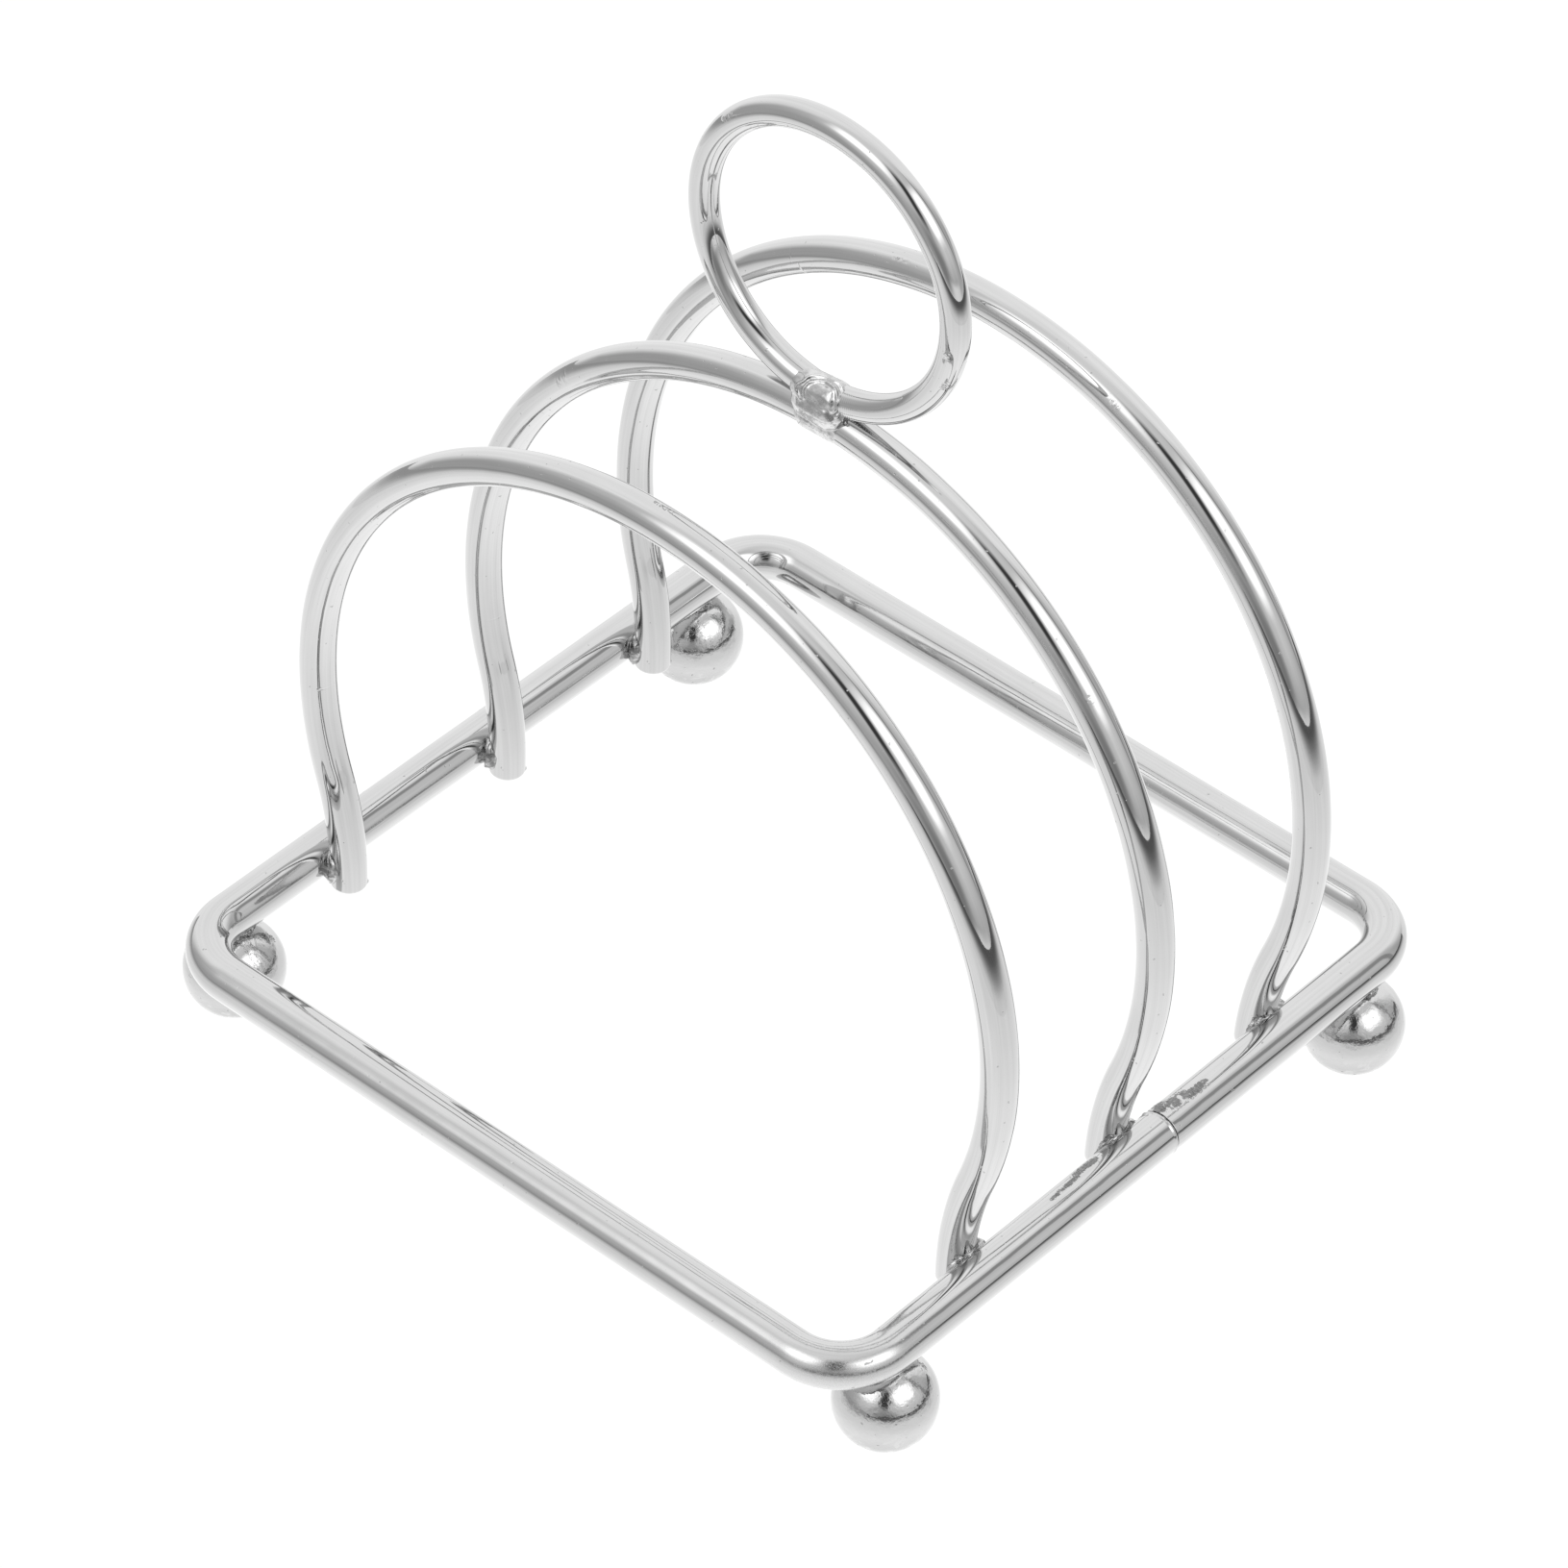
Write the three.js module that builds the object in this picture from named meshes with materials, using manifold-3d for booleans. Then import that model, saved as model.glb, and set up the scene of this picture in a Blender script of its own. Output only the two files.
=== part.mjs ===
// A welded wire toast rack for two slices: a rounded square base frame on four ball feet,
// three horseshoe arches standing inside its side rails, and a finger ring on the middle arch.
// Millimetres. +X is to the right, +Y to the rear, +Z up; the origin is on the table, under
// the middle of the frame.
import * as THREE from "three";
import { mergeVertices } from "three/addons/utils/BufferGeometryUtils.js";
import Module from "manifold-3d";

const wasm = await Module();
wasm.setup();

// ---- Driving dimensions ----

const GAP = 0.3; // clearance kept where two pieces touch

const FOOT_RADIUS = 5.6;
const FOOT_PATCH_RADIUS = 1.0; // the contact patch worn flat under each ball
const FOOT_HEIGHT = Math.sqrt(FOOT_RADIUS ** 2 - FOOT_PATCH_RADIUS ** 2); // centre of a ball

const FRAME_WIRE_RADIUS = 2.5;
const FRAME_HALF_WIDTH = 46.2; // to the centreline of a side rail
const FRAME_HALF_DEPTH = 45.6; // to the centreline of the front or rear rail
const FRAME_BEND_RADIUS = 6.8;
const FRAME_HEIGHT = 2 * FOOT_RADIUS + FRAME_WIRE_RADIUS; // the rails rest on the balls
const JOINT_Y = 3.9; // where the two ends of the frame wire meet, on the right rail
const JOINT_WELD_WIDTH = 0.8;
const JOINT_WELD_RADIUS = 2.6;

const ARCH_WIRE_RADIUS = 2.0;
const ARCH_RADIUS = 46.6; // centreline of the round top
const ARCH_CENTRE_HEIGHT = 39.0;
const LEG_X = 42.4; // centreline of a leg where it comes upright
const LEG_BEND_RADIUS = 45.0; // the reverse bend from the round top into the leg

const RING_WIRE_RADIUS = 1.6;
const RING_RADIUS = 16.4; // centreline
const RING_CENTRE = new THREE.Vector3(-0.2, -0.2, 105.1);
const RING_END_GAP = 2.0; // between the two ends of the ring wire, inside the weld

// The arches are one bent wire made three times, each welded on a little out of true. at
// shifts its middle and lifts it; lean tips it to the rear, turn rolls it to the right in its
// own plane and yaw swings it about the vertical, in degrees. leftEnd and rightEnd are the
// heights of the cut ends of its legs.
const ARCHES = [
  { name: "front", at: [-0.1, -24.1, 0.6], lean: -0.2, turn: -0.2, yaw: 0, leftEnd: 11.1, rightEnd: 10.8 },
  { name: "middle", at: [0, 0.1, 0], lean: 0, turn: 0.7, yaw: -0.7, leftEnd: 11.2, rightEnd: 10.8 },
  { name: "rear", at: [0.1, 24.0, -0.5], lean: 1.1, turn: 0.8, yaw: 0, leftEnd: 11.6, rightEnd: 10.8 },
];

// The balls were set under the side rails by eye, just inboard of the corners.
const FEET = [
  { name: "front_left", x: -46.5, y: -37.5 },
  { name: "front_right", x: 45.3, y: -37.9 },
  { name: "rear_left", x: -46.8, y: 36.0 },
  { name: "rear_right", x: 45.7, y: 37.6 },
];

// Half sizes of the metal squeezed out at each weld, before its neighbours are cut out of it.
const LEG_WELD = new THREE.Vector3(1.7, 3.2, 3.9);
const FOOT_WELD = new THREE.Vector3(2.7, 3.4, 1.1);
const FOOT_WELD_DROP = 0.4; // its middle below the underside of the rail
const HANDLE_WELD = new THREE.Vector3(2.8, 2.5, 2.6);

// ---- Facets ----

const WIRE_SIDES = 12;
const FRAME_BEND_STEP = Math.PI / 12;
const ARCH_STEP = Math.PI / 30;
const RING_STEP = Math.PI / 18;
const BALL_SEGMENTS = 18;
const BALL_RINGS = 10;
const BEAD_SEGMENTS = 12;
const BEAD_RINGS = 8;

// ---- Wires ----

// The route of a bent wire: straights and arcs drawn flat, each cut into its own number of
// steps, and stood up in space by lift, which turns a flat point into a point of the model.
class WireRoute extends THREE.Curve {
  constructor(pieces, lift) {
    super();
    this.pieces = pieces;
    this.lift = lift;
    this.steps = pieces.reduce((sum, piece) => sum + piece.steps, 0);
  }

  getPoint(t) {
    let station = t * this.steps;
    let index = 0;
    while (index < this.pieces.length - 1 && station > this.pieces[index].steps) {
      station -= this.pieces[index].steps;
      index += 1;
    }
    const { curve, steps } = this.pieces[index];
    return this.lift(curve.getPoint(station / steps));
  }

  // Equal parts of the route are steps, not lengths: short ones in a bend, long on a straight.
  getUtoTmapping(u) {
    return u;
  }
}

function straight(x1, y1, x2, y2) {
  return { curve: new THREE.LineCurve(new THREE.Vector2(x1, y1), new THREE.Vector2(x2, y2)), steps: 1 };
}

function bend(x, y, radius, from, to, stepAngle) {
  const steps = Math.max(1, Math.round(Math.abs(to - from) / stepAngle));
  return { curve: new THREE.ArcCurve(x, y, radius, from, to, to < from), steps };
}

const layFlat = (p) => new THREE.Vector3(p.x, p.y, FRAME_HEIGHT);
const standUp = (p) => new THREE.Vector3(p.x, 0, p.y);

function wire(route, radius) {
  const section = new THREE.Shape();
  for (let side = 0; side < WIRE_SIDES; side += 1) {
    const angle = (side / WIRE_SIDES) * 2 * Math.PI;
    const corner = [radius * Math.cos(angle), radius * Math.sin(angle)];
    if (side === 0) section.moveTo(...corner);
    else section.lineTo(...corner);
  }
  return new THREE.ExtrudeGeometry(section, {
    steps: route.steps,
    extrudePath: route,
    bevelEnabled: false,
  });
}

// ---- Cuts ----

function solidOf(geometry) {
  const bare = geometry.clone();
  bare.deleteAttribute("normal");
  bare.deleteAttribute("uv");
  const merged = mergeVertices(bare, 1e-4);
  const mesh = new wasm.Mesh({
    numProp: 3,
    vertProperties: merged.attributes.position.array,
    triVerts: new Uint32Array(merged.index.array),
  });
  return new wasm.Manifold(mesh);
}

function cut(geometry, ...tools) {
  let solid = solidOf(geometry);
  for (const tool of tools) solid = solid.subtract(solidOf(tool));
  const { vertProperties, triVerts } = solid.getMesh();
  const result = new THREE.BufferGeometry();
  result.setAttribute("position", new THREE.BufferAttribute(vertProperties, 3));
  result.setIndex(new THREE.BufferAttribute(triVerts, 1));
  return result;
}

// ---- The rack ----

const rack = new THREE.Group();

function add(name, geometry, material) {
  const mesh = new THREE.Mesh(geometry, material);
  mesh.name = name;
  rack.add(mesh);
}

const chrome = () => new THREE.MeshStandardMaterial({ color: 0xd9dbdd, metalness: 1, roughness: 0.06 });
const weldMetal = () => new THREE.MeshStandardMaterial({ color: 0xa7a8a9, metalness: 1, roughness: 0.4 });

function bead(centre, halfSize) {
  return new THREE.SphereGeometry(1, BEAD_SEGMENTS, BEAD_RINGS)
    .scale(halfSize.x, halfSize.y, halfSize.z)
    .translate(centre.x, centre.y, centre.z);
}

// Once round the frame, from the joint on the right rail by the rear and back to the joint.
function frameRoute(gap) {
  const x = FRAME_HALF_WIDTH;
  const y = FRAME_HALF_DEPTH;
  const r = FRAME_BEND_RADIUS;
  const corner = (cx, cy, from) => bend(cx, cy, r, from, from + Math.PI / 2, FRAME_BEND_STEP);
  const pieces = [
    straight(x, JOINT_Y + gap / 2, x, y - r),
    corner(x - r, y - r, 0),
    straight(x - r, y, r - x, y),
    corner(r - x, y - r, Math.PI / 2),
    straight(-x, y - r, -x, r - y),
    corner(r - x, r - y, Math.PI),
    straight(r - x, -y, x - r, -y),
    corner(x - r, r - y, -Math.PI / 2),
    straight(x, r - y, x, JOINT_Y - gap / 2),
  ];
  return new WireRoute(pieces, layFlat);
}

// The frame a little thicker, to cut its neighbours clear of it.
const frameClearance = wire(frameRoute(0), FRAME_WIRE_RADIUS + GAP);

function addFrame() {
  add("base_frame", wire(frameRoute(JOINT_WELD_WIDTH + 2 * GAP), FRAME_WIRE_RADIUS), chrome());
  const weld = new THREE.CylinderGeometry(JOINT_WELD_RADIUS, JOINT_WELD_RADIUS, JOINT_WELD_WIDTH, WIRE_SIDES)
    .translate(FRAME_HALF_WIDTH, JOINT_Y, FRAME_HEIGHT);
  add("frame_joint_weld", weld, weldMetal());
}

// A ball from its contact patch up to its crown, both on the axis.
function ball(x, y, radius) {
  const patchAngle = Math.asin(FOOT_PATCH_RADIUS / radius);
  const profile = [new THREE.Vector2(0, -radius * Math.cos(patchAngle))];
  for (let ring = 0; ring < BALL_RINGS; ring += 1) {
    const angle = patchAngle + (ring / BALL_RINGS) * (Math.PI - patchAngle);
    profile.push(new THREE.Vector2(radius * Math.sin(angle), -radius * Math.cos(angle)));
  }
  profile.push(new THREE.Vector2(0, radius));
  return new THREE.LatheGeometry(profile, BALL_SEGMENTS)
    .rotateX(Math.PI / 2)
    .translate(x, y, FOOT_HEIGHT);
}

function addFoot({ name, x, y }) {
  add(`foot_${name}`, cut(ball(x, y, FOOT_RADIUS), frameClearance), chrome());
  const underRail = FRAME_HEIGHT - FRAME_WIRE_RADIUS;
  const weld = bead(new THREE.Vector3(x, y, underRail - FOOT_WELD_DROP), FOOT_WELD);
  add(`foot_weld_${name}`, cut(weld, frameClearance, ball(x, y, FOOT_RADIUS + GAP)), weldMetal());
}

// The place of an arch: turned about the height of the side rails, where its legs are held.
function archPlace({ at, lean, turn, yaw }) {
  const [x, y, lift] = at;
  const angles = [-lean, turn, yaw].map(THREE.MathUtils.degToRad);
  return new THREE.Matrix4()
    .makeRotationFromEuler(new THREE.Euler(...angles, "ZXY"))
    .premultiply(new THREE.Matrix4().makeTranslation(x, y, FRAME_HEIGHT + lift))
    .multiply(new THREE.Matrix4().makeTranslation(0, 0, -FRAME_HEIGHT));
}

// From the cut end of the left leg over the round top to the cut end of the right leg. Each
// leg bends back out of the round top on a circle that touches it and comes upright at LEG_X.
function archWire(arch, radius) {
  const place = archPlace(arch);
  const reach = ARCH_RADIUS + LEG_BEND_RADIUS;
  const bendX = LEG_X + LEG_BEND_RADIUS;
  const meeting = Math.acos(bendX / reach);
  const bendZ = ARCH_CENTRE_HEIGHT - reach * Math.sin(meeting);
  const endAngle = (side, height) => {
    const end = new THREE.Vector3(side * LEG_X, arch.at[1], height).applyMatrix4(place.clone().invert());
    return Math.asin((end.z - bendZ) / LEG_BEND_RADIUS);
  };
  const pieces = [
    bend(-bendX, bendZ, LEG_BEND_RADIUS, endAngle(-1, arch.leftEnd), meeting, ARCH_STEP),
    bend(0, ARCH_CENTRE_HEIGHT, ARCH_RADIUS, Math.PI + meeting, -meeting, ARCH_STEP),
    bend(bendX, bendZ, LEG_BEND_RADIUS, Math.PI - meeting, Math.PI - endAngle(1, arch.rightEnd), ARCH_STEP),
  ];
  return wire(new WireRoute(pieces, standUp), radius).applyMatrix4(place);
}

function addArch(arch) {
  add(`arch_${arch.name}`, cut(archWire(arch, ARCH_WIRE_RADIUS), frameClearance), chrome());
  const archClearance = archWire(arch, ARCH_WIRE_RADIUS + GAP);
  for (const [sideName, side] of [["left", -1], ["right", 1]]) {
    const leg = new THREE.Vector3(side * LEG_X, 0, FRAME_HEIGHT).applyMatrix4(archPlace(arch));
    const legFace = leg.x + side * ARCH_WIRE_RADIUS;
    const railFace = side * (FRAME_HALF_WIDTH - FRAME_WIRE_RADIUS);
    const weld = bead(new THREE.Vector3((legFace + railFace) / 2, leg.y, FRAME_HEIGHT), LEG_WELD);
    add(`leg_weld_${arch.name}_${sideName}`, cut(weld, frameClearance, archClearance), weldMetal());
  }
}

function ringWire(radius, gap) {
  const halfGap = gap / 2 / RING_RADIUS;
  const round = bend(0, 0, RING_RADIUS, halfGap - Math.PI / 2, 1.5 * Math.PI - halfGap, RING_STEP);
  return wire(new WireRoute([round], standUp), radius).translate(...RING_CENTRE);
}

function addHandle(arch) {
  const archClearance = archWire(arch, ARCH_WIRE_RADIUS + GAP);
  add("ring_handle", cut(ringWire(RING_WIRE_RADIUS, RING_END_GAP), archClearance), chrome());
  const ringFoot = RING_CENTRE.z - RING_RADIUS - RING_WIRE_RADIUS;
  const weld = bead(new THREE.Vector3(RING_CENTRE.x, RING_CENTRE.y, ringFoot), HANDLE_WELD);
  const ringClearance = ringWire(RING_WIRE_RADIUS + GAP, RING_END_GAP - 2 * GAP);
  add("handle_weld", cut(weld, archClearance, ringClearance), weldMetal());
}

addFrame();
FEET.forEach(addFoot);
ARCHES.forEach(addArch);
addHandle(ARCHES.find(({ name }) => name === "middle"));

export default rack;
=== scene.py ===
"""A chrome-plated wire toast rack for two slices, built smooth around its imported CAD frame.

Metres. +X is to the right, +Y to the rear and +Z up; the origin is on the table, under the
middle of the base. Every piece stands for one CAD node and lies where that node lies.
"""

import math
import random

import bmesh
import bpy
from mathutils import Euler, Matrix, Vector, noise


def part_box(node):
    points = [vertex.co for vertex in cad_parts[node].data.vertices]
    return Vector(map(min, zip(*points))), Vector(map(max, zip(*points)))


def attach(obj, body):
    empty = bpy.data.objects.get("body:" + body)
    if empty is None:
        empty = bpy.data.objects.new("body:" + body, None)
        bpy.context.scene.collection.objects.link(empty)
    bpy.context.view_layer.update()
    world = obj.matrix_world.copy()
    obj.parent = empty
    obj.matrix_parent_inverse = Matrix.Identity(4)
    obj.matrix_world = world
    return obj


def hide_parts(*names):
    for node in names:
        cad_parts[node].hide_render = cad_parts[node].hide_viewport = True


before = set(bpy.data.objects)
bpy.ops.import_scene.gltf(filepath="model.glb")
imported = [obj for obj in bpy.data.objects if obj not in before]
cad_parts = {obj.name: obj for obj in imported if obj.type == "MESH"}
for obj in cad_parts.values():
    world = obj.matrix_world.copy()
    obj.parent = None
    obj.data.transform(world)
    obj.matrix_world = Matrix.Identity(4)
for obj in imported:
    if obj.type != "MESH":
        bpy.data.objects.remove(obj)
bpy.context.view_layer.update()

MM = 0.001


# ---- Sizes read from the frame ----

def box_middle(node):
    low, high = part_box(node)
    return (low + high) / 2


def box_size(node):
    low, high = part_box(node)
    return high - low


RAIL_RADIUS = box_size("base_frame").z / 2
RAIL_HEIGHT = box_middle("base_frame").z
RAIL_HALF_WIDTH = box_size("base_frame").x / 2 - RAIL_RADIUS
RAIL_HALF_DEPTH = box_size("base_frame").y / 2 - RAIL_RADIUS
RAIL_BEND_RADIUS = 6.8 * MM
JOINT_Y = box_middle("frame_joint_weld").y

BALL_RADIUS = 5.6 * MM
BALL_PATCH_RADIUS = 1.0 * MM
BALL_HEIGHT = math.sqrt(BALL_RADIUS ** 2 - BALL_PATCH_RADIUS ** 2)
CORNERS = ["front_left", "front_right", "rear_left", "rear_right"]

RING_WIRE_RADIUS = box_size("ring_handle").y / 2
RING_RADIUS = box_size("ring_handle").x / 2 - RING_WIRE_RADIUS
RING_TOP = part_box("ring_handle")[1].z
RING_CENTRE = Vector((
    box_middle("ring_handle").x,
    box_middle("ring_handle").y,
    RING_TOP - RING_WIRE_RADIUS - RING_RADIUS,
))
RING_END_GAP = 1.2 * MM

# ---- The arch, bent three times from one pattern and welded on a little out of true ----

ARCH_WIRE_RADIUS = 2.0 * MM
ARCH_RADIUS = 46.6 * MM
ARCH_CENTRE_HEIGHT = 39.0 * MM
LEG_X = 42.4 * MM
LEG_BEND_RADIUS = 45.0 * MM

# at shifts the middle of an arch and lifts it; lean tips it to the rear, turn rolls it to the
# right in its own plane and yaw swings it about the vertical, in degrees. The ends are the
# heights of the cut ends of its legs.
ARCHES = {
    "front": {"at": (-0.1, -24.1, 0.6), "lean": -0.2, "turn": -0.2, "yaw": 0.0, "ends": (11.1, 10.8)},
    "middle": {"at": (0.0, 0.1, 0.0), "lean": 0.0, "turn": 0.7, "yaw": -0.7, "ends": (11.2, 10.8)},
    "rear": {"at": (0.1, 24.0, -0.5), "lean": 1.1, "turn": 0.8, "yaw": 0.0, "ends": (11.6, 10.8)},
}
SIDES = {"left": -1, "right": 1}

# ---- Surface detail ----

CUT_RIM = 0.35 * MM  # the softened rim of a sawn wire end
BUTT_RIM = 0.06 * MM  # the sharper rim where two ends meet
WAVE_DEPTH = 0.018 * MM  # how far a drawn wire is from perfectly round
WAVE_LENGTH = 8.0 * MM
WAVE_FRACTAL = (1.1, 2.2, 3)  # how fast finer waves get shallower and shorter, and how many sizes
ROUNDING_STEPS = 5  # the rings of points in a rounded rim
COARSE_STEP = 0.5 * MM
FINE_STEP = 0.10 * MM
FINEST_STEP = 0.04 * MM
SCRAPED_ALL_ROUND = 0.4  # the share of the roughness of a bend that is not only on its outside
FRAME_SIDES, WIRE_SIDES = 128, 120  # the points round the frame wire and round the thinner ones


# ---- Small shader graphs ----

class Graph:
    """Adds nodes to a tree. Every value is a socket, or a number or colour for a constant."""

    def __init__(self, tree):
        self.tree = tree

    def node(self, kind, **settings):
        made = self.tree.nodes.new(kind)
        for name, value in settings.items():
            setattr(made, name, value)
        return made

    def put(self, socket, value):
        if isinstance(value, bpy.types.NodeSocket):
            self.tree.links.new(value, socket)
        else:
            socket.default_value = value

    def math(self, operation, *values):
        made = self.node("ShaderNodeMath", operation=operation)
        for socket, value in zip(made.inputs, values):
            self.put(socket, value)
        return made.outputs[0]

    def add(self, *values):
        total = values[0]
        for value in values[1:]:
            total = self.math("ADD", total, value)
        return total

    def times(self, *values):
        total = values[0]
        for value in values[1:]:
            total = self.math("MULTIPLY", total, value)
        return total

    def centred(self, value):
        """A noise from 0 to 1, moved so that it lies about 0."""
        return self.math("SUBTRACT", value, 0.5)

    def ease(self, value, low, high, start=0.0, end=1.0):
        """start up to low, end beyond high, and a smooth step between."""
        made = self.node("ShaderNodeMapRange", interpolation_type="SMOOTHSTEP")
        for socket, part in zip(made.inputs, (value, low, high, start, end)):
            self.put(socket, part)
        return made.outputs[0]

    def dot(self, vector, axis):
        made = self.node("ShaderNodeVectorMath", operation="DOT_PRODUCT")
        self.put(made.inputs[0], vector)
        made.inputs[1].default_value = axis
        return made.outputs["Value"]

    def stretch(self, vector, scale):
        made = self.node("ShaderNodeVectorMath", operation="MULTIPLY")
        self.put(made.inputs[0], vector)
        made.inputs[1].default_value = scale
        return made.outputs["Vector"]

    def noise(self, vector, size, detail=2.0, roughness=0.5, distortion=0.0):
        """A noise from 0 to 1 whose coarsest patches are about as wide as size."""
        made = self.node("ShaderNodeTexNoise")
        self.put(made.inputs["Vector"], vector)
        made.inputs["Scale"].default_value = 1 / size
        made.inputs["Detail"].default_value = detail
        made.inputs["Roughness"].default_value = roughness
        made.inputs["Distortion"].default_value = distortion
        return made.outputs["Fac"]

    def attribute(self, name, output="Vector"):
        return self.node("ShaderNodeAttribute", attribute_name=name).outputs[output]

    def grey(self, value):
        made = self.node("ShaderNodeCombineColor")
        for socket in made.inputs:
            self.put(socket, value)
        return made.outputs[0]

    def bump(self, height, depth, under=None):
        """A normal tilted by the height, which stands for this depth where it is 1."""
        made = self.node("ShaderNodeBump")
        made.inputs["Strength"].default_value = 1.0
        made.inputs["Distance"].default_value = depth
        self.put(made.inputs["Height"], height)
        if under is not None:
            self.put(made.inputs["Normal"], under)
        return made.outputs[0]

    def end(self, kind, shader):
        """Joins the finished shader to an output node of this kind."""
        output = self.node(kind)
        self.tree.links.new(shader.outputs[0], output.inputs["Surface"])


# ---- Materials ----

CHROME_GREY = 0.56
POLISH = 0.03
FROST = 0.42  # the roughness that bending adds to a wire, at most
LEAST_FROST = 0.4 * FROST

# How much each flaw changes the grey and the roughness where it is at its strongest.
LINE_CONTRAST, HAZE_CONTRAST = 0.16, 0.05
WIRE_SPECK_DARKNESS, BALL_SPECK_DARKNESS, SPECK_ROUGHNESS = 0.14, 0.18, 0.2
SCUFF_DARKNESS, SCUFF_ROUGHNESS = 0.36, 0.25
# Painted shade on a ball: how much darker its lower half is, for the shaded table under it that it
# mirrors, and how dark it stays in the lighter blotches.
PAINTED_SHADE_DARKNESS, PAINTED_SHADE_IN_BLOTCHES, FILM_ROUGHNESS = 0.24, 0.11, 0.08
SCUFF_DENT = 1.5  # how many times deeper a scuff is than a speck
WEAR = 0.42  # how much a worn share of 1 adds to the pattern that scuffs appear in

# How the patterns on a wire are stretched: x and y lie across it, and z runs along it.
DRAW_LINES = (1, 1, 0.012)
LONG_WAVES = (1, 1, 0.3)
CROSS_STROKES = (0.4, 0.4, 1)

# The dull film on a ball, and the painted shade that darkens its lower half, are full below the first
# height above the table and gone above the second.
SHADE_AND_FILM_FULL, SHADE_AND_FILM_GONE = 0.15 * BALL_RADIUS, 1.1 * BALL_RADIUS


def new_material(name):
    made = bpy.data.materials.new(name)
    made.use_nodes = True
    made.node_tree.nodes.clear()
    return made, Graph(made.node_tree)


def finish_metal(graph, colour, roughness, normal):
    """Ends a graph in its metal shader."""
    shader = graph.node("ShaderNodeBsdfPrincipled")
    shader.inputs["Metallic"].default_value = 1.0
    graph.put(shader.inputs["Base Color"], graph.grey(colour))
    graph.put(shader.inputs["Roughness"], roughness)
    graph.put(shader.inputs["Normal"], normal)
    graph.end("ShaderNodeOutputMaterial", shader)


def chrome_wire(name):
    """Plated drawn wire: draw lines along it, patches of haze, orange peel, a few pits, scuffs
    where it is worn, and frost where bending scraped it."""
    material, graph = new_material(name)
    place = graph.attribute("wire_place")
    worn = graph.attribute("worn", "Fac")
    bent = graph.attribute("bent", "Fac")
    lines = graph.noise(graph.stretch(place, DRAW_LINES), size=0.30 * MM, detail=3.0, roughness=0.6)
    haze = graph.noise(place, size=7.0 * MM, detail=3.0, roughness=0.55)
    peel = graph.noise(place, size=1.1 * MM)
    grain = graph.noise(place, size=0.16 * MM, roughness=0.6)
    waves = graph.noise(graph.stretch(place, LONG_WAVES), size=3.2 * MM, detail=1.0, roughness=0.4)
    dust = graph.noise(place, size=0.5 * MM, detail=1.0, roughness=0.4)
    specks = graph.ease(dust, low=0.755, high=0.80)
    strokes = graph.stretch(place, CROSS_STROKES)
    scribble = graph.noise(strokes, size=0.24 * MM, detail=3.0, roughness=0.7, distortion=0.5)
    scuffs = graph.ease(graph.add(scribble, graph.times(worn, WEAR)), low=0.74, high=0.90)
    colour = graph.add(
        CHROME_GREY,
        graph.times(graph.centred(lines), LINE_CONTRAST),
        graph.times(graph.centred(haze), HAZE_CONTRAST),
        graph.times(specks, -WIRE_SPECK_DARKNESS),
        graph.times(scuffs, -SCUFF_DARKNESS),
    )
    roughness = graph.add(
        POLISH,
        graph.ease(haze, low=0.45, high=0.75, end=0.035),
        graph.times(bent, graph.ease(grain, low=0.3, high=0.7, start=LEAST_FROST, end=FROST)),
        graph.times(specks, SPECK_ROUGHNESS),
        graph.times(scuffs, SCUFF_ROUGHNESS),
    )
    dents = graph.add(graph.times(specks, -1.0), graph.times(scuffs, -SCUFF_DENT))
    normal = graph.bump(waves, depth=0.004 * MM)
    normal = graph.bump(peel, depth=0.0015 * MM, under=normal)
    normal = graph.bump(lines, depth=0.0016 * MM, under=normal)
    normal = graph.bump(graph.times(bent, grain), depth=0.008 * MM, under=normal)
    normal = graph.bump(dents, depth=0.02 * MM, under=normal)
    finish_metal(graph, colour, roughness, normal)
    return material


def chrome_ball(name):
    """A plated steel ball: nearly a mirror, with faint dimples and pits. Over its lower half lie a dull,
    grainy film and painted shade, the darkness of the shaded table under it, lighter in blotches."""
    material, graph = new_material(name)
    place = graph.node("ShaderNodeTexCoord").outputs["Object"]
    haze = graph.noise(place, size=4.0 * MM, detail=3.0, roughness=0.6)
    dimples = graph.noise(place, size=0.9 * MM, detail=3.0, roughness=0.6)
    dust = graph.noise(place, size=0.5 * MM, detail=1.0, roughness=0.4)
    specks = graph.ease(dust, low=0.73, high=0.78)
    blots = graph.noise(place, size=1.4 * MM, detail=4.0, roughness=0.7, distortion=0.6)
    marks = graph.ease(blots, low=0.52, high=0.62)
    grain = graph.noise(place, size=0.3 * MM, detail=3.0, roughness=0.7)
    height = graph.dot(place, (0, 0, 1))
    # painted shade: darker towards the bottom, for the shaded table under the ball. It fades out together
    # with the dull film, whose roughness and grain are the ball's own.
    shade_and_film = graph.ease(height, SHADE_AND_FILM_FULL, SHADE_AND_FILM_GONE, start=1.0, end=0.0)
    painted_underside_shade = graph.ease(marks, 0.0, 1.0, start=-PAINTED_SHADE_DARKNESS, end=-PAINTED_SHADE_IN_BLOTCHES)
    colour = graph.add(
        CHROME_GREY,
        graph.times(graph.centred(haze), HAZE_CONTRAST),
        graph.times(specks, -BALL_SPECK_DARKNESS),
        graph.times(shade_and_film, painted_underside_shade),
    )
    roughness = graph.add(
        POLISH,
        graph.ease(haze, low=0.45, high=0.8, end=0.04),
        graph.times(shade_and_film, FILM_ROUGHNESS),
        graph.times(specks, SPECK_ROUGHNESS),
    )
    normal = graph.bump(dimples, depth=0.045 * MM)
    normal = graph.bump(graph.times(shade_and_film, grain), depth=0.012 * MM, under=normal)
    normal = graph.bump(graph.times(specks, -1.0), depth=0.01 * MM, under=normal)
    finish_metal(graph, colour, roughness, normal)
    return material


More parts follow.
